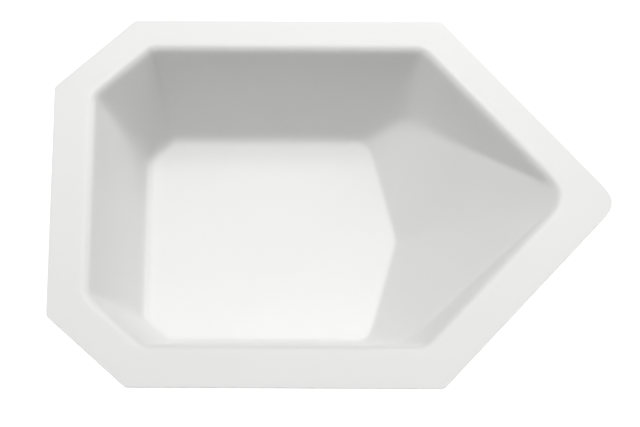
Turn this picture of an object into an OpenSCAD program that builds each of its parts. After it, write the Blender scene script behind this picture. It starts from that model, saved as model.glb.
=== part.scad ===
// Weighing boat with a pouring spout, vacuum formed from one thin sheet of polystyrene.
// A flat flange runs round a tapered pocket. The pocket has a flat floor, seven leaning walls
// and two ramps, which meet in a shallow trough that climbs from the floor to the spout's tip.
// +X points at the spout and +Z up. The origin is under the middle of the boat's outline,
// on the surface that the boat stands on. All sizes are in millimetres and degrees.

/* [Overall] */
// Length over all, from the rear edge to the rounded tip
boat_l = 89; // [75:1:110]
// Width over the two straight sides
boat_w = 67.4; // [56:0.2:82]
// Height over all, from the table to the flange's upper face
boat_h = 14.9; // [12:0.1:18]
// Thickness of the sheet
sheet_t = 0.35; // [0.2:0.05:0.6]

/* [Die-cut outline] */
// Leg of the cut across each rear corner
rear_cut = 12.7; // [8:0.1:16]
// Angle between the two sides of the spout
spout_angle = 100.6; // [90:0.2:120]
// Radius of the outline's tip
tip_r = 3.8; // [1:0.1:6]
// Radius of the outline's other corners
outline_corner_r = 1; // [0.5:0.1:3]

/* [Pocket] */
// Width of the flange, where the outline is cut true to the pocket
flange_w = 6.5; // [4:0.1:8]
// How far the outline is cut off centre, which makes the flange wider on the -Y side
cut_offset = 1.05; // [0:0.05:2]
// Angle of the walls from the table
wall_angle = 61; // [55:1:75]
// How far the floor's front corners stay behind the foot of the spout walls
floor_setback = 4.8; // [2:0.1:8]
// How far the floor's front edge points on from those corners towards the spout
floor_point = 4.6; // [2:0.1:8]
// Depth of the trough under the flange where it reaches the spout's tip
spout_depth = 0.4; // [0.3:0.1:2]

/* [Bends] */
// Radius of the lip, where the flange turns down into a wall
lip_r = 1.5; // [0.8:0.1:2]
// Radius round the floor, where it turns up into the walls and ramps
foot_r = 2.5; // [1:0.1:4]
// Radius of the crease between a spout wall and its ramp
crease_r = 1.5; // [0.5:0.1:3]
// Radius of the upright corners between two walls
wall_corner_r = 1.5; // [0.5:0.1:3]
// Radius of the corner between the two spout walls
spout_corner_r = 4.5; // [2:0.1:6]
// Radius of the floor's corners, and of the trough's valley where it leaves the floor
floor_corner_r = 2.4; // [1:0.1:3.5]

/* [Hidden] */

// Facets round each corner of the plan, and across each bend of the section
corner_steps = 6;
bend_steps = 5;
// Sheet beyond the die's cut, and the die's reach above and below the sheet
spare = 2;
// Least length of a bend, so that a wall with no bend still has one row of facets there
least_bend = 0.2;
// Most of a straight stretch that the bend at one of its ends may take
bend_share = 0.45;

half_angle = spout_angle / 2;
walls = 7;
// Plan direction that each wall faces away to: rear, near cut, near side, near spout,
// far spout, far side, far cut. The near side is -Y.
facing = [180, 225, 270, 270 + half_angle, 90 - half_angle, 90, 135];
// Distance of each edge of the outline from the origin, along its facing direction
cut_dist = (boat_l / 2 + boat_w / 2 - rear_cut) / sqrt(2);
spout_dist = (boat_l / 2 - tip_r) * sin(half_angle) + tip_r;
edge_dist = [boat_l / 2, cut_dist, boat_w / 2, spout_dist, spout_dist, boat_w / 2, cut_dist];

function unit(v) = v / norm(v);
function towards(angle) = [cos(angle), sin(angle), 0];
// A plane is [normal, distance from the origin]; normals point out of the sheet's upper face
function level(z) = [[0, 0, 1], z];
function upright(i, dist) = [towards(facing[i]), dist];
function through(a, b, c) = let (n = unit(cross(b - a, c - a))) [n, n * a];
// The same plane, sunk into the sheet
function sunk(plane, depth) = [plane[0], plane[1] - depth];
// The point that three planes share
function meet(p, q, r) =
    (p[1] * cross(q[0], r[0]) + q[1] * cross(r[0], p[0]) + r[1] * cross(p[0], q[0]))
    / (p[0] * cross(q[0], r[0]));
// Corners of a ring of planes: each plane and the next one meet the lid given for that corner
function corners(planes, lids) =
    [for (i = [0 : walls - 1]) meet(planes[i], planes[(i + 1) % walls], lids[i])];
function each_corner(value) = [for (i = [0 : walls - 1]) value];
function outline_planes(grow) = [for (i = [0 : walls - 1]) upright(i, edge_dist[i] + grow)];

// Planes of the upper face
flange_plane = level(boat_h);
floor_plane = level(sheet_t);
// Distance from the origin of the line where each wall meets the flange
function rim_dist(i) = edge_dist[i] - flange_w + cut_offset * towards(facing[i]).y;
wall_planes = [
    for (i = [0 : walls - 1])
        let (n = [0, 0, cos(wall_angle)] - sin(wall_angle) * towards(facing[i]))
            [n, n * (rim_dist(i) * towards(facing[i]) + [0, 0, boat_h])]
];
// The ramps rise from the floor's pointed front edge to the end of the trough
near_corner = meet(wall_planes[2], wall_planes[3], floor_plane) - [floor_setback, 0, 0];
far_corner = meet(wall_planes[4], wall_planes[5], floor_plane) - [floor_setback, 0, 0];
floor_tip = (near_corner + far_corner) / 2 + [floor_point, 0, 0];
trough_end = meet(wall_planes[3], wall_planes[4], level(boat_h - spout_depth));
near_ramp = through(near_corner, trough_end, floor_tip);
far_ramp = through(far_corner, floor_tip, trough_end);

// Creases of one face of the sheet, as rings of corners: the flange's border, the rim, the break
// where the spout walls end on the ramps, the floor's edge, and a ring just inside the floor's edge
function creases(depth) =
    let (
        wall = [for (p = wall_planes) sunk(p, depth)],
        near = sunk(near_ramp, depth),
        far = sunk(far_ramp, depth),
        lower = [wall[0], wall[1], wall[2], near, far, wall[5], wall[6]],
        inner = [for (p = lower) sunk(p, -foot_r)],
        flange = sunk(flange_plane, depth),
        bottom = sunk(floor_plane, depth),
        // The plain walls have their row of facets level with the foot of the spout walls
        plain = level(meet(wall[2], wall[3], near).z)
    )
    [
        corners(outline_planes(spare), each_corner(flange)),
        corners(wall, each_corner(flange)),
        corners(wall, [plain, plain, near, near, far, plain, plain]),
        corners(lower, each_corner(bottom)),
        corners(inner, each_corner(bottom))
    ];

// Points of an arc of radius r that rounds the bend at b, between flat faces that meet along a
// crease of direction run, on the way from a to c. The arc is a conic whose tangents start at
// equal distances from the crease, at most a share of the narrower face.
function arc(a, b, c, run, r, steps) =
    let (
        in = (a - b) - ((a - b) * run) * run,
        out = (c - b) - ((c - b) * run) * run,
        turn = acos(max(-1, min(1, -unit(in) * unit(out)))),
        most = bend_share * min(norm(in), norm(out)),
        reach = min(most, max(least_bend, r * tan(turn / 2))),
        first = b + (a - b) * reach / norm(in),
        last = b + (c - b) * reach / norm(out),
        pull = cos(turn / 2)
    )
    [
        for (k = [0 : steps])
            let (t = k / steps, w0 = pow(1 - t, 2), w1 = 2 * pull * t * (1 - t), w2 = t * t)
                (w0 * first + w1 * b + w2 * last) / (w0 + w1 + w2)
    ];
// A ring of corners with each corner rounded: corner_steps + 1 points for each
function rounded(ring, radii) =
    [
        for (i = [0 : walls - 1])
            let (before = ring[(i + walls - 1) % walls], after = ring[(i + 1) % walls])
                each arc(before, ring[i], after, unit(cross(ring[i] - before, after - ring[i])),
                         radii[i], corner_steps)
    ];
// Direction of a rounded ring at its point s: along the straight stretch at either end of a
// corner, and along the neighbours' chord within it
function direction(ring, s) =
    let (k = s % (corner_steps + 1), before = k == 0 ? 1 : k == corner_steps ? 0 : 1,
         after = k == 0 ? 0 : 1, n = len(ring))
        unit(ring[(s + after) % n] - ring[(s + n - before) % n]);

// One face of the sheet as a list of sections from the flange's border to the floor. A bend whose
// hollow side is the upper face is wider underneath by the sheet, and the lip is the other way.
function face_sections(depth) =
    let (
        ring = creases(depth),
        upright_r = wall_corner_r + depth,
        spout_r = spout_corner_r + depth,
        wall_r = [upright_r, upright_r, upright_r, spout_r, upright_r, upright_r, upright_r],
        floor_r = each_corner(floor_corner_r + depth),
        border = rounded(ring[0], each_corner(outline_corner_r)),
        rim = rounded(ring[1], wall_r),
        ledge = rounded(ring[2], wall_r),
        edge = rounded(ring[3], floor_r),
        inside = rounded(ring[4], floor_r)
    )
    [
        for (s = [0 : len(rim) - 1]) [
            border[s],
            each arc(border[s], rim[s], ledge[s], direction(rim, s), lip_r - depth, bend_steps),
            each arc(rim[s], ledge[s], edge[s], direction(ledge, s), crease_r + depth, bend_steps),
            each arc(ledge[s], edge[s], inside[s], direction(edge, s), foot_r + depth, bend_steps)
        ]
    ];

// The sheet as it leaves the mould: the upper face, the underside and the border between them
module formed_sheet() {
    upper = face_sections(0);
    under = face_sections(sheet_t);
    sections = len(upper);
    rows = len(upper[0]);
    count = sections * rows;
    function at(s, k) = (s % sections) * rows + k;
    polyhedron(
        points = [for (face = [upper, under], section = face) each section],
        faces = [
            for (s = [0 : sections - 1], k = [0 : rows - 2]) each [
                [at(s, k), at(s, k + 1), at(s + 1, k + 1)],
                [at(s, k), at(s + 1, k + 1), at(s + 1, k)],
                [count + at(s, k), count + at(s + 1, k + 1), count + at(s, k + 1)],
                [count + at(s, k), count + at(s + 1, k), count + at(s + 1, k + 1)]
            ],
            for (s = [0 : sections - 1]) each [
                [at(s, 0), at(s + 1, 0), count + at(s + 1, 0)],
                [at(s, 0), count + at(s + 1, 0), count + at(s, 0)]
            ],
            [for (s = [0 : sections - 1]) at(s, rows - 1)],
            [for (s = [sections - 1 : -1 : 0]) count + at(s, rows - 1)]
        ]
    );
}

// What the die keeps: the seven-sided outline with its corners rounded
module die_cut() {
    radii = [for (i = [0 : walls - 1]) i == 3 ? tip_r : outline_corner_r];
    outline = rounded(corners(outline_planes(0), each_corner(level(0))), radii);
    translate([0, 0, -spare])
        linear_extrude(boat_h + 2 * spare)
            polygon([for (p = outline) [p.x, p.y]]);
}

module boat() {
    color("white")
        intersection() {
            formed_sheet();
            die_cut();
        }
}

boat();
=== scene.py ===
"""A weighing boat on a pale floor, under the soft light of a small product studio.

The boat is one sheet of white polystyrene, thermoformed over a mould and die-cut round its flange.
Its shape is a set of flat faces that meet along creases, and every crease is a soft bend:

    point = hard corner path + (direction out - direction in) * bump(x),
    bump(x) = (h - |x|)^3 / (6 h^2) for |x| < h, and 0 beyond,

where x is the distance from the crease and h the reach of the bend. The curvature of such a bend
rises from nothing and falls back to nothing, as it does in a sheet drawn over a rounded mould.
"""

import logging
import math
from dataclasses import dataclass
from enum import Enum, IntEnum

import bpy
import numpy as np
from mathutils import Matrix, Vector


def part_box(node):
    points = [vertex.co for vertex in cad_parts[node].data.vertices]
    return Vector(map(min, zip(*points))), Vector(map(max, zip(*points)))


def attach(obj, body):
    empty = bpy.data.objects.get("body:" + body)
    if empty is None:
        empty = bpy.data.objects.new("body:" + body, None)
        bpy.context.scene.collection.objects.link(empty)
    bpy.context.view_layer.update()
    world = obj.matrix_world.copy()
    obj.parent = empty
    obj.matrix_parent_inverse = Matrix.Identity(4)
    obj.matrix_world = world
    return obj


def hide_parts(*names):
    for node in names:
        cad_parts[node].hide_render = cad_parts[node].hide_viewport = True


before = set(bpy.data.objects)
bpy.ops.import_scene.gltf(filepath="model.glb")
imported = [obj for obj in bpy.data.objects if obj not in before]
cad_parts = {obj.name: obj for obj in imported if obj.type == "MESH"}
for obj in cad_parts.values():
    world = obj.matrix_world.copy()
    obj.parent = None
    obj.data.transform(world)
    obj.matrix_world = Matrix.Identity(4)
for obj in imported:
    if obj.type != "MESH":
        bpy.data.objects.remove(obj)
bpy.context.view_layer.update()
MM = 0.001
UP = np.array([0.0, 0.0, 1.0])
# Sockets of a Mix node that mixes colours: its factor, its two colours and its result
MIX_FACTOR, MIX_FIRST, MIX_SECOND, MIX_RESULT = 0, 6, 7, 2
log = logging.getLogger("weighing_boat")


class Wall(IntEnum):
    """The seven walls of the pocket, in order round it, seen from above and anticlockwise."""

    REAR = 0
    NEAR_CUT = 1
    NEAR_SIDE = 2
    NEAR_SPOUT = 3
    FAR_SPOUT = 4
    FAR_SIDE = 5
    FAR_CUT = 6


class Lamp(Enum):
    """What each lamp of the studio is for."""

    KEY = "key_softbox"
    FRONT = "front_panel"
    CLOSE = "close_panel"
    SPOUT = "spout_panel"
    REAR = "rear_panel"


def linear_colour(code: str) -> tuple[float, float, float, float]:
    """Turns an sRGB hex colour into linear red, green, blue and an alpha of 1.

    Args:
        code: The colour, such as "#F4F4F2".

    Returns:
        Four numbers from 0 to 1. Each channel c becomes c / 12.92 up to 0.04045, and
        ((c + 0.055) / 1.055) ^ 2.4 above it.
    """
    coded = np.array([int(code[i : i + 2], 16) / 255 for i in (1, 3, 5)])
    linear = np.where(coded <= 0.04045, coded / 12.92, ((coded + 0.055) / 1.055) ** 2.4)
    red, green, blue = linear.tolist()
    return red, green, blue, 1.0


def add_node(
    tree: bpy.types.NodeTree, kind: str, settings: dict[str, object] | None = None, **inputs: object
) -> bpy.types.Node:
    """Adds one shader node, with its settings, its constant inputs and its links.

    Args:
        tree: The node tree that takes the node.
        kind: The node's type, such as "ShaderNodeTexNoise".
        settings: Properties of the node itself.
        **inputs: Values or output sockets by input name, with _ for a space.

    Returns:
        The new node.
    """
    node = tree.nodes.new(kind)
    for name, value in (settings or {}).items():
        setattr(node, name, value)
    for name, value in inputs.items():
        socket = node.inputs[name.replace("_", " ")]
        if isinstance(value, bpy.types.NodeSocket):
            tree.links.new(value, socket)
        else:
            socket.default_value = value
    return node


def unit(vectors: np.ndarray) -> np.ndarray:
    """Scales each vector of an array to length 1."""
    return vectors / np.linalg.norm(vectors, axis=-1, keepdims=True)


def across(vectors: np.ndarray, run: np.ndarray) -> np.ndarray:
    """Takes from each vector its part along the unit vector run, and leaves the part across it."""
    return vectors - np.sum(vectors * run, axis=-1, keepdims=True) * run


def bend_reach(turn: np.ndarray, radius: np.ndarray | float) -> np.ndarray:
    """Finds how far a soft bend reaches from its crease.

    Args:
        turn: How far the surface turns, in radians.
        radius: Radius of the round bend that it stands for.

    Returns:
        The reach 3 r tan(turn / 4) / cos(turn / 2), with which the soft bend passes its crease at
        the same distance as an arc of that radius.
    """
    return 3 * radius * np.tan(turn / 4) / np.cos(turn / 2)


def bump(x: np.ndarray, reach: np.ndarray) -> np.ndarray:
    """Gives the height of a soft bend at x: (h - |x|)^3 / (6 h^2), and 0 past the reach h."""
    return np.clip(reach - np.abs(x), 0, None) ** 3 / (6 * reach**2)


def share_turned(x: np.ndarray, reach: np.ndarray) -> np.ndarray:
    """Gives how much of a soft bend's turn is done at x.

    Args:
        x: Distance past the crease.
        reach: The bend's reach, h.

    Returns:
        (x + h)^2 / (2 h^2) before the crease, and 1 - (h - x)^2 / (2 h^2) after it.
    """
    before = np.clip(x + reach, 0, None) ** 2 / (2 * reach**2)
    after = 1 - np.clip(reach - x, 0, None) ** 2 / (2 * reach**2)
    return np.where(x < 0, before, after)


def closed_band(grid: np.ndarray) -> np.ndarray:
    """Gives the quads of a grid whose first axis is closed.

    Args:
        grid: Numbers of the points, as rings by rows.

    Returns:
        One quad for each point and its neighbours: the point, the next one round, the one beyond
        that in the next row, and the one in the next row.
    """
    following = np.roll(grid, -1, axis=0)
    quads = np.stack([grid[:, :-1], following[:, :-1], following[:, 1:], grid[:, 1:]], axis=2)
    return quads.reshape(-1, 4)


def turned_over(quads: np.ndarray) -> np.ndarray:
    """Turns quads to face the other way, each from the same first corner as before."""
    return quads[:, [0, 3, 2, 1]]


def closed_fan(ring: np.ndarray, pole: int) -> np.ndarray:
    """Gives the triangles from each point of a closed ring to the next one and on to the pole."""
    return np.stack([ring, np.roll(ring, -1), np.full(len(ring), pole)], axis=1)


def seen_from(azimuth: float, elevation: float) -> Vector:
    """Gives the direction out to a place round from the -Y side and up from the floor.

    Args:
        azimuth: Degrees round from the -Y side, towards +X.
        elevation: Degrees up from the floor.

    Returns:
        A unit vector.
    """
    turn, rise = math.radians(azimuth), math.radians(elevation)
    level_part = math.cos(rise)
    return Vector((math.sin(turn) * level_part, -math.cos(turn) * level_part, math.sin(rise)))


@dataclass(frozen=True)
class Planes:
    """A row of planes, each held as a unit normal and its distance from the origin."""

    normals: np.ndarray
    distances: np.ndarray

    def moved(self, distance: float) -> "Planes":
        """Gives the same planes, each moved along its own normal."""
        return Planes(self.normals, self.distances + distance)

    def picked(self, rows: list[int]) -> "Planes":
        """Gives the planes of some rows, in the order named."""
        return Planes(self.normals[rows], self.distances[rows])

    def with_rows(self, rows: list[int], others: "Planes") -> "Planes":
        """Puts other planes in some rows.

        Args:
            rows: The rows to change.
            others: The planes for them, in the same order.

        Returns:
            A new row of planes.
        """
        normals, distances = self.normals.copy(), self.distances.copy()
        normals[rows] = others.normals
        distances[rows] = others.distances
        return Planes(normals, distances)

    def corners(self, lids: "Planes") -> np.ndarray:
        """Finds where each plane, the next one round and that corner's lid meet.

        Args:
            lids: One plane for each corner.

        Returns:
            The corners, one row of x, y and z for each plane: the solution of n . x = d for the
            three planes.
        """
        normals = np.stack([self.normals, np.roll(self.normals, -1, axis=0), lids.normals], axis=1)
        distances = np.stack([self.distances, np.roll(self.distances, -1), lids.distances], axis=1)
        return np.linalg.solve(normals, distances[..., None])[..., 0]


def level(height: float | np.ndarray) -> Planes:
    """Gives one level plane for each wall, all at one height or at one height each."""
    return Planes(np.tile(UP, (len(Wall), 1)), np.broadcast_to(height, len(Wall)).astype(float))


def plane_through(a: np.ndarray, b: np.ndarray, c: np.ndarray) -> Planes:
    """Gives the plane through three points that run anticlockwise, seen from its outer side."""
    normal = unit(np.cross(b - a, c - a))
    return Planes(normal[None], np.array([normal @ a]))


@dataclass(frozen=True)
class CornerRadii:
    """Radii of a ring's corners: the two beside the rear wall, the two plain ones between a cut and
    a side, the two shoulders between a side and the spout, and the spout's own."""

    rear: float
    plain: float
    shoulder: float
    spout: float

    def each(self) -> np.ndarray:
        """Gives the radii in order round the ring. A corner has the number of the wall before it.

        Returns:
            One radius for each corner.
        """
        radii = np.full(len(Wall), self.plain)
        radii[[Wall.REAR, Wall.FAR_CUT]] = self.rear
        radii[[Wall.NEAR_SIDE, Wall.FAR_SPOUT]] = self.shoulder
        radii[Wall.NEAR_SPOUT] = self.spout
        return radii


@dataclass(frozen=True)
class Ring:
    """A closed line round the boat: its points and the direction that it runs in at each."""

    points: np.ndarray
    runs: np.ndarray


@dataclass(frozen=True)
class Bend:
    """One soft bend of every section of the sheet."""

    # Arc length of the crease along each section
    place: np.ndarray
    # How fast the distance across the crease grows with arc length, before it and after it
    rates: tuple[np.ndarray, np.ndarray]
    reach: np.ndarray
    # Direction out less direction in, both across the crease
    change: np.ndarray

    def rows(self, spread: np.ndarray) -> np.ndarray:
        """Gives the arc lengths at which the distance past the crease is reach * spread."""
        return self.place + self.reach * spread / np.where(spread < 0, *self.rates)

    def shift(self, s: np.ndarray) -> np.ndarray:
        """Gives how far the bend moves the hard path at arc length s: change * bump(x)."""
        x = (s - self.place) * np.where(s < self.place, *self.rates)
        return self.change[:, None] * bump(x, self.reach)[..., None]


@dataclass(frozen=True)
class ThermoformedPolystyrene:
    """High-impact polystyrene sheet, formed from white stock.

    To the eye it is a clean neutral white. Its rubber makes it satin rather than glossy, a little
    light passes through the thin sheet and softens its creases, and the mould leaves a faint grain.
    """

    colour: str = "#EAEAE9"
    shade: str = "#E6E6E5"
    ior: float = 1.59
    roughness: float = 0.38
    roughness_spread: float = 0.04
    # Share of the light that scatters inside the sheet, and how far it travels there
    scatter: float = 0.4
    scatter_depth: float = 0.8 * MM
    # Slow variation of the stock's whiteness where the sheet stretched
    cloud: float = 14 * MM
    cloud_octaves: float = 2.0
    cloud_persistence: float = 0.5
    # The mould's sandblasted grain is about 0.1 mm, drawn coarser here so that it shows
    grain: float = 0.5 * MM
    grain_octaves: float = 3.0
    grain_persistence: float = 0.6
    grain_height: float = 0.004 * MM

    def material(self) -> bpy.types.Material:
        """Builds the material on Object coordinates.

        Returns:
            The material: two close whites and a varying satin by the clouds, a fine relief by the
            grain, and scatter inside the sheet.
        """
        material = bpy.data.materials.new("thermoformed_polystyrene")
        material.use_nodes = True
        tree = material.node_tree
        tree.nodes.clear()
        place = add_node(tree, "ShaderNodeTexCoord").outputs["Object"]
        clouds = add_node(
            tree,
            "ShaderNodeTexNoise",
            Vector=place,
            Scale=1 / self.cloud,
            Detail=self.cloud_octaves,
            Roughness=self.cloud_persistence,
        ).outputs["Fac"]
        grain = add_node(
            tree,
            "ShaderNodeTexNoise",
            Vector=place,
            Scale=1 / self.grain,
            Detail=self.grain_octaves,
            Roughness=self.grain_persistence,
        ).outputs["Fac"]
        white = add_node(tree, "ShaderNodeMix", {"data_type": "RGBA"})
        tree.links.new(clouds, white.inputs[MIX_FACTOR])
        white.inputs[MIX_FIRST].default_value = linear_colour(self.shade)
        white.inputs[MIX_SECOND].default_value = linear_colour(self.colour)
        satin = add_node(
            tree,
            "ShaderNodeMapRange",
            Value=clouds,
            To_Min=self.roughness - self.roughness_spread,
            To_Max=self.roughness + self.roughness_spread,
        ).outputs["Result"]
        relief = add_node(
            tree, "ShaderNodeBump", Height=grain, Strength=1.0, Distance=self.grain_height
        ).outputs["Normal"]
        shader = add_node(
            tree,
            "ShaderNodeBsdfPrincipled",
            Base_Color=white.outputs[MIX_RESULT],
            Roughness=satin,
            IOR=self.ior,
            Normal=relief,
            Subsurface_Weight=self.scatter,
            Subsurface_Radius=(1.0, 1.0, 1.0),
            Subsurface_Scale=self.scatter_depth,
        )
        add_node(tree, "ShaderNodeOutputMaterial", Surface=shader.outputs["BSDF"])
        return material


@dataclass(frozen=True)
class FormedSheet:
    """The boat's one sheet. Sizes are in metres and angles in degrees.

    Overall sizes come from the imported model's box. The pocket's middle line is off the outline's by
    cut_offset, because the sheet was cut a little out of line.
    """

    length: float
    width: float
    height: float
    thickness: float = 0.35 * MM
    rear_cut: float = 12.7 * MM
    spout_angle: float = 100.6
    flange_width: float = 6.5 * MM
    cut_offset: float = 1.05 * MM
    wall_angle: float = 61.0
    floor_setback: float = 4.8 * MM
    floor_point: float = 4.6 * MM
    # How far over the flange the trough would end, but for its rounded corner
    spout_rise: float = 0.5 * MM
    lip_radius: float = 2.0 * MM
    foot_radius: float = 2.5 * MM
    # Radius of the crease between a spout wall and its ramp, the radius that it grows to at the
    # shoulder, and how far from the shoulder it does so
    crease_radius: float = 1.5 * MM
    shoulder_crease_radius: float = 8.0 * MM
    shoulder_spread: float = 9.0 * MM
    # Corners of the outline, of the rim, of the break under the walls, of the floor, and of the
    # last ring that follows the floor's edge
    outline_corners: CornerRadii = CornerRadii(rear=MM, plain=MM, shoulder=MM, spout=3.8 * MM)
    rim_corners: CornerRadii = CornerRadii(
        rear=2.5 * MM, plain=1.5 * MM, shoulder=1.5 * MM, spout=4.5 * MM
    )
    break_corners: CornerRadii = CornerRadii(
        rear=5.0 * MM, plain=2.5 * MM, shoulder=8.0 * MM, spout=3.0 * MM
    )
    floor_corners: CornerRadii = CornerRadii(
        rear=5.0 * MM, plain=2.4 * MM, shoulder=4.0 * MM, spout=2.4 * MM
    )
    inset_corners: CornerRadii = CornerRadii(
        rear=1.2 * MM, plain=1.2 * MM, shoulder=1.2 * MM, spout=1.2 * MM
    )
    # How far the bends reach where nothing turns, so that the rows of the grid stay apart
    least_reach: float = 0.25 * MM
    # Where a wall is lower than this many reaches of the lip, the crease under it is as soft
    run_out: float = 2.0
    # How far in from the floor's edge the last ring that follows it lies
    floor_inset: float = 3.4 * MM
    # Rows beside the cut edge, which keep its shading off the flat flange
    border_rows: tuple[float, ...] = (0.0, 0.12 * MM, 0.5 * MM)
    # Places of the rows over the flat floor, as a share of the way from its middle to the last ring
    floor_rows: tuple[float, ...] = (0.96, 0.85, 0.65, 0.4, 0.15)
    corner_steps: int = 20
    straight_steps: int = 12
    bend_steps: int = 14
    # Two faces that meet at more than this angle have a sharp edge, as at the die's cut
    sharp_angle: float = 50.0

    @property
    def facing(self) -> np.ndarray:
        """Gives the directions in plan that the walls face away to.

        Returns:
            One unit vector for each wall.
        """
        half = self.spout_angle / 2
        angles = np.radians([180, 225, 270, 270 + half, 90 - half, 90, 135])
        return np.stack([np.cos(angles), np.sin(angles), np.zeros(len(Wall))], axis=1)

    @property
    def edge_distances(self) -> np.ndarray:
        """Gives the distances of the outline's edges from the origin.

        Returns:
            One distance for each wall, along its facing direction. A rear corner's cut takes
            rear_cut off both sides, and a spout edge touches the rounded tip.
        """
        half = math.radians(self.spout_angle / 2)
        rear, side = self.length / 2, self.width / 2
        cut = (rear + side - self.rear_cut) / math.sqrt(2)
        tip_radius = self.outline_corners.spout
        spout = (self.length / 2 - tip_radius) * math.sin(half) + tip_radius
        return np.array([rear, cut, side, spout, spout, side, cut])

    def walls(self) -> Planes:
        """Gives the walls' upper faces.

        Returns:
            One plane for each wall. It leans by wall_angle, and meets the flange along a line that
            runs flange_width inside the outline, moved over by cut_offset.
        """
        angle = math.radians(self.wall_angle)
        normals = math.cos(angle) * UP - math.sin(angle) * self.facing
        rim = self.edge_distances - self.flange_width + self.cut_offset * self.facing[:, 1]
        points = rim[:, None] * self.facing + self.height * UP
        return Planes(normals, np.sum(normals * points, axis=1))

    def ramps(self, walls: Planes) -> Planes:
        """Gives the two ramps, from the floor's pointed front edge up to the end of the trough.

        Args:
            walls: The walls' upper faces.

        Returns:
            The near ramp and the far one.
        """
        foot = walls.corners(level(self.thickness))
        near = foot[Wall.NEAR_SIDE] - [self.floor_setback, 0, 0]
        far = foot[Wall.FAR_SPOUT] - [self.floor_setback, 0, 0]
        point = (near + far) / 2 + [self.floor_point, 0, 0]
        end = walls.corners(level(self.height + self.spout_rise))[Wall.NEAR_SPOUT]
        ramps = plane_through(near, end, point), plane_through(far, point, end)
        normals = np.concatenate([ramp.normals for ramp in ramps])
        return Planes(normals, np.concatenate([ramp.distances for ramp in ramps]))

    def rounded(self, corners: np.ndarray, radii: CornerRadii) -> Ring:
        """Rounds each corner of a ring with a soft bend, and divides the straight stretches.

        Within a corner the point at x is corner + x * direction + (out - in) * bump(x), where the
        direction is in before the corner and out after it. Along a straight stretch the points lie
        at the shares (1 - cos(pi k / n)) / 2 of it, so they are close together at its ends.

        Args:
            corners: The ring's corners in order.
            radii: The radii of its corners.

        Returns:
            The ring, with corner_steps + straight_steps points for each corner.
        """
        leave = unit(np.roll(corners, -1, axis=0) - corners)
        arrive = np.roll(leave, 1, axis=0)
        turn = np.arccos(np.clip(np.sum(arrive * leave, axis=1), -1, 1))
        reach = bend_reach(turn, radii.each())[:, None]
        x = reach * np.linspace(-1, 1, self.corner_steps + 1)
        path = np.where(x[..., None] < 0, arrive[:, None], leave[:, None]) * x[..., None]
        change = (leave - arrive)[:, None]
        bends = corners[:, None] + path + change * bump(x, reach)[..., None]
        bend_runs = unit(arrive[:, None] + change * share_turned(x, reach)[..., None])
        start, end = bends[:, -1], np.roll(bends[:, 0], -1, axis=0)
        share = (1 - np.cos(np.pi * np.arange(1, self.straight_steps) / self.straight_steps)) / 2
        straights = start[:, None] + (end - start)[:, None] * share[None, :, None]
        straight_runs = np.broadcast_to(leave[:, None], straights.shape)
        points = np.concatenate([bends, straights], axis=1).reshape(-1, 3)
        runs = np.concatenate([bend_runs, straight_runs], axis=1).reshape(-1, 3)
        return Ring(points, runs)

    def creases(self) -> list[Ring]:
        """Gives the rings that the sections turn at.

        Returns:
            The cut edge, the rim, the break where the spout walls end on the ramps, the floor's
            edge, and a ring on the flat floor. The plain walls have their break level with the
            foot of the spout walls, and don't turn there.
        """
        walls = self.walls()
        ramps = self.ramps(walls)
        lower = walls.with_rows([Wall.NEAR_SPOUT, Wall.FAR_SPOUT], ramps)
        on_ramps, their_ramps = [Wall.NEAR_SIDE, Wall.NEAR_SPOUT, Wall.FAR_SPOUT], [0, 0, 1]
        lids = level(0.0).with_rows(on_ramps, ramps.picked(their_ramps))
        foot_height = walls.corners(lids)[Wall.NEAR_SIDE][2]
        lids = level(foot_height).with_rows(on_ramps, ramps.picked(their_ramps))
        flange, floor = level(self.height), level(self.thickness)
        outline = Planes(self.facing, self.edge_distances)
        inset = lower.moved(self.floor_inset * math.sin(math.radians(self.wall_angle)))
        return [
            self.rounded(outline.corners(flange), self.outline_corners),
            self.rounded(walls.corners(flange), self.rim_corners),
            self.rounded(walls.corners(lids), self.break_corners),
            self.rounded(lower.corners(floor), self.floor_corners),
            self.rounded(inset.corners(floor), self.inset_corners),
        ]

    def crease_radii(self, ring: Ring) -> np.ndarray:
        """Gives the radius of the crease at each point of the break.

        Args:
            ring: The break.

        Returns:
            r + (R - r) exp(-(d / w)^2), where r is crease_radius, R shoulder_crease_radius, w
            shoulder_spread and d the distance from the nearer shoulder.
        """
        per_corner = self.corner_steps + self.straight_steps
        middles = np.array([Wall.NEAR_SIDE, Wall.FAR_SPOUT]) * per_corner + self.corner_steps // 2
        away = np.linalg.norm(ring.points[:, None] - ring.points[middles], axis=2).min(axis=1)
        softened = np.exp(-((away / self.shoulder_spread) ** 2))
        return self.crease_radius + (self.shoulder_crease_radius - self.crease_radius) * softened

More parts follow.
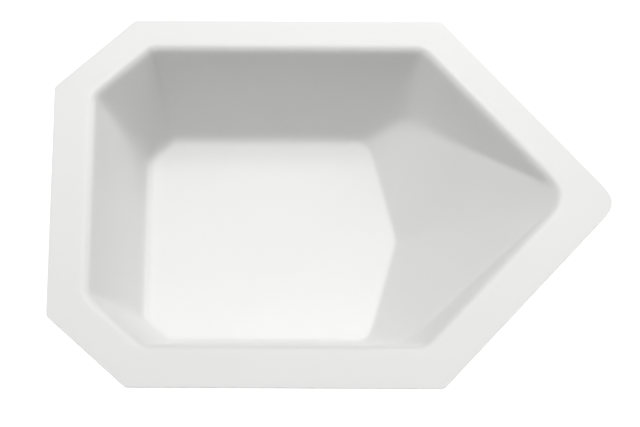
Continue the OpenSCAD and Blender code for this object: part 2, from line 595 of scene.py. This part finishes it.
    def bends(self, rings: list[Ring], ways: np.ndarray, lengths: np.ndarray) -> list[Bend]:
        """Works out the bends at the rim, at the break and at the floor's edge.

        The directions in and out are taken across the crease, so a straight crease has one profile
        all along. Where a wall of height w runs out under a lip of reach h, the bend below it
        reaches at least h (1 - w / (run_out h)).

        Args:
            rings: The rings that the sections turn at.
            ways: Direction of each section from each ring to the next.
            lengths: Distance from each ring to the next.

        Returns:
            The three bends.
        """
        places = np.cumsum(lengths, axis=1)
        radii = (self.lip_radius, self.crease_radii(rings[2]), self.foot_radius)
        bends: list[Bend] = []
        for i, (ring, radius) in enumerate(zip(rings[1:], radii)):
            before, after = across(ways[:, i], ring.runs), across(ways[:, i + 1], ring.runs)
            rates = np.linalg.norm(before, axis=1)[:, None], np.linalg.norm(after, axis=1)[:, None]
            change = unit(after) - unit(before)
            turn = 2 * np.arcsin(np.clip(np.linalg.norm(change, axis=1) / 2, 0, 1))
            reach = np.maximum(bend_reach(turn, radius), self.least_reach)[:, None]
            if bends:
                lip, wall = bends[0].reach, lengths[:, i, None]
                reach = np.maximum(reach, lip * (1 - wall / (self.run_out * lip)))
            bends.append(Bend(places[:, i, None], rates, reach, change))
        return bends

    def upper_face(self) -> np.ndarray:
        """Works out the sheet's upper face.

        A section runs over one point of each ring. Its point at arc length s is the point of the
        hard path there, moved by each bend. Its rows lie where the bends need them.

        Returns:
            Points as an array of sections, rows and coordinates, from the cut edge to the middle.
        """
        rings = self.creases()
        knots = np.stack([ring.points for ring in rings], axis=1)
        steps = np.diff(knots, axis=1)
        lengths = np.linalg.norm(steps, axis=2)
        ways = steps / lengths[..., None]
        starts = np.concatenate([np.zeros((len(knots), 1)), np.cumsum(lengths, axis=1)], axis=1)
        bends = self.bends(rings, ways, lengths)
        spread = np.linspace(-1, 1, self.bend_steps + 1)
        rows = [np.broadcast_to(self.border_rows, (len(knots), len(self.border_rows)))]
        rows += [bend.rows(spread) for bend in bends] + [starts[:, -1:]]
        s = np.sort(np.concatenate(rows, axis=1), axis=1)
        travel = np.clip(s[..., None] - starts[:, None, :-1], 0, lengths[:, None])
        points = knots[:, :1] + np.einsum("srk,skc->src", travel, ways)
        for bend in bends:
            points += bend.shift(s)
        middle = points[:, -1].mean(axis=0)
        shares = np.array(self.floor_rows)[None, :, None]
        floor = middle + (points[:, -1:] - middle) * shares
        return np.concatenate([points, floor], axis=1)

    def under_face(self, upper: np.ndarray) -> np.ndarray:
        """Sets the underside one thickness below the upper face, along its normals.

        Args:
            upper: The upper face's points.

        Returns:
            point - thickness * normal for each point, where the normal is the cross product of the
            differences between its neighbours along the rows and round the rings.
        """
        down = np.gradient(upper, axis=1)
        down[:, 0] = upper[:, 1] - upper[:, 0]
        round_rings = np.roll(upper, -1, axis=0) - np.roll(upper, 1, axis=0)
        return upper - self.thickness * unit(np.cross(round_rings, down))

    def mesh(self) -> bpy.types.Mesh:
        """Joins both faces and the cut edge into one closed skin.

        Returns:
            The mesh, with its faces outwards.
        """
        upper = self.upper_face()
        under = self.under_face(upper)
        poles = np.array([upper[:, -1].mean(axis=0), under[:, -1].mean(axis=0)])
        points = np.concatenate([upper.reshape(-1, 3), under.reshape(-1, 3), poles])
        top = np.arange(upper[..., 0].size).reshape(upper.shape[:2])
        low = top + top.size
        top_pole, low_pole = 2 * top.size, 2 * top.size + 1
        cut = np.stack([top[:, 0], low[:, 0]], axis=1)
        # The quads of both faces start at the same corner, so the same diagonal splits them
        quads = [closed_band(top), turned_over(closed_band(low)), turned_over(closed_band(cut))]
        fans = [closed_fan(top[:, -1], top_pole), closed_fan(low[:, -1], low_pole)[:, [1, 0, 2]]]
        mesh = bpy.data.meshes.new("formed_sheet")
        mesh.from_pydata(points, [], np.concatenate(quads).tolist() + np.concatenate(fans).tolist())
        mesh.polygons.foreach_set("use_smooth", np.ones(len(mesh.polygons), dtype=bool))
        mesh.set_sharp_from_angle(angle=math.radians(self.sharp_angle))
        mesh.validate()
        return mesh

    def build(self, finish: ThermoformedPolystyrene) -> bpy.types.Object:
        """Makes the piece, dresses it and puts it in the frame in place of the CAD node.

        Args:
            finish: What the sheet is made of.

        Returns:
            The finished object.
        """
        piece = bpy.data.objects.new("formed_sheet", self.mesh())
        bpy.context.scene.collection.objects.link(piece)
        piece.data.materials.append(finish.material())
        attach(piece, "root")
        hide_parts("boat")
        log.info("formed_sheet: %d faces", len(piece.data.polygons))
        return piece


@dataclass(frozen=True)
class Softbox:
    """A square panel of light, aimed at the boat. Lengths are in metres and angles in degrees."""

    azimuth: float
    elevation: float
    distance: float
    size: float
    power: float

    def build(self, name: str, target: Vector) -> bpy.types.Object:
        """Makes the lamp: it stands at target + distance * direction, and faces back along it.

        Args:
            name: The lamp's name.
            target: The point that it faces.

        Returns:
            The lamp.
        """
        data = bpy.data.lights.new(name, "AREA")
        data.shape = "SQUARE"
        data.size = self.size
        data.energy = self.power
        lamp = bpy.data.objects.new(name, data)
        bpy.context.scene.collection.objects.link(lamp)
        away = seen_from(self.azimuth, self.elevation)
        lamp.location = target + self.distance * away
        lamp.rotation_euler = away.to_track_quat("Z", "Y").to_euler()
        return lamp


@dataclass(frozen=True)
class Viewpoint:
    """Where the camera stands: round from the -Y side, up from the floor, and how far off."""

    azimuth: float = 0.28
    elevation: float = 59.58
    distance: float = 0.7875
    # Focal length and sensor width in millimetres
    lens: float = 280.0
    sensor: float = 36.0
    # X and Y of the point that the camera faces
    aim: tuple[float, float] = (-1.756 * MM, -2.393 * MM)

    def build(self, height: float) -> bpy.types.Object:
        """Makes the camera and gives it to the scene.

        Args:
            height: Height of the point that the camera aims at.

        Returns:
            The camera.
        """
        data = bpy.data.cameras.new("camera")
        data.lens = self.lens
        data.sensor_width = self.sensor
        camera = bpy.data.objects.new("camera", data)
        bpy.context.scene.collection.objects.link(camera)
        turn = math.radians(self.azimuth)
        away = seen_from(self.azimuth, self.elevation)
        right = Vector((math.cos(turn), math.sin(turn), 0.0))
        camera.matrix_world = Matrix((right, away.cross(right), away)).transposed().to_4x4()
        camera.location = Vector((*self.aim, height)) + self.distance * away
        bpy.context.scene.camera = camera
        return camera


@dataclass(frozen=True)
class Studio:
    """The pale floor, the lamps and the camera round the boat."""

    target: Vector
    floor_colour: str = "#BEBEBE"
    backlight: str = "#FFFFFF"
    floor_size: float = 3.0
    # Air under the sheet, which keeps the two faces from lying in one plane
    floor_gap: float = 0.02 * MM
    floor_glow: float = 0.85
    floor_roughness: float = 0.8
    sky: str = "#FFFFFF"
    sky_strength: float = 0.02

    def floor(self) -> bpy.types.Object:
        """Makes the floor: a sheet of pale acrylic with light behind it.

        Returns:
            The floor.
        """
        half, z = self.floor_size / 2, -self.floor_gap
        corners = [(-half, -half, z), (half, -half, z), (half, half, z), (-half, half, z)]
        mesh = bpy.data.meshes.new("pale_floor")
        mesh.from_pydata(corners, [], [(0, 1, 2, 3)])
        floor = bpy.data.objects.new("pale_floor", mesh)
        bpy.context.scene.collection.objects.link(floor)
        material = bpy.data.materials.new("backlit_acrylic")
        material.use_nodes = True
        tree = material.node_tree
        tree.nodes.clear()
        shader = add_node(
            tree,
            "ShaderNodeBsdfPrincipled",
            Base_Color=linear_colour(self.floor_colour),
            Roughness=self.floor_roughness,
            Emission_Color=linear_colour(self.backlight),
            Emission_Strength=self.floor_glow,
        )
        add_node(tree, "ShaderNodeOutputMaterial", Surface=shader.outputs["BSDF"])
        mesh.materials.append(material)
        return floor

    def lamps(self) -> dict[Lamp, Softbox]:
        """Gives the lamps.

        Returns:
            One softbox for each role. The key light stands high behind the boat, and the small
            panel close behind it makes the far side of the flange the lightest.
        """
        return {
            Lamp.KEY: Softbox(azimuth=180, elevation=75, distance=0.6, size=0.3, power=0.78),
            Lamp.FRONT: Softbox(azimuth=0, elevation=60, distance=0.9, size=0.45, power=0.91),
            Lamp.CLOSE: Softbox(azimuth=180, elevation=55, distance=0.35, size=0.175, power=0.43),
            Lamp.SPOUT: Softbox(azimuth=135, elevation=30, distance=0.6, size=0.3, power=1.23),
            Lamp.REAR: Softbox(azimuth=270, elevation=40, distance=0.9, size=0.45, power=1.11),
        }

    def sky_light(self) -> None:
        """Gives the scene an even white surround."""
        world = bpy.data.worlds.new("studio_surround")
        world.use_nodes = True
        background = world.node_tree.nodes["Background"]
        background.inputs["Color"].default_value = linear_colour(self.sky)
        background.inputs["Strength"].default_value = self.sky_strength
        bpy.context.scene.world = world

    def build(self) -> None:
        """Makes the floor, the lamps, the surround and the camera."""
        self.floor()
        for role, lamp in self.lamps().items():
            lamp.build(role.value, self.target)
        self.sky_light()
        Viewpoint().build(self.target.z)
        bpy.context.scene.view_settings.view_transform = "Standard"
        log.info("studio: floor, %d lamps, surround and camera", len(self.lamps()))


def main() -> None:
    """Builds the boat and then the studio round it."""
    logging.basicConfig(level=logging.INFO, format="%(name)s: %(message)s")
    low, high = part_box("boat")
    length, width, height = high - low
    FormedSheet(length, width, height).build(ThermoformedPolystyrene())
    Studio(Vector(((low.x + high.x) / 2, (low.y + high.y) / 2, high.z))).build()


if __name__ == "__main__":
    main()
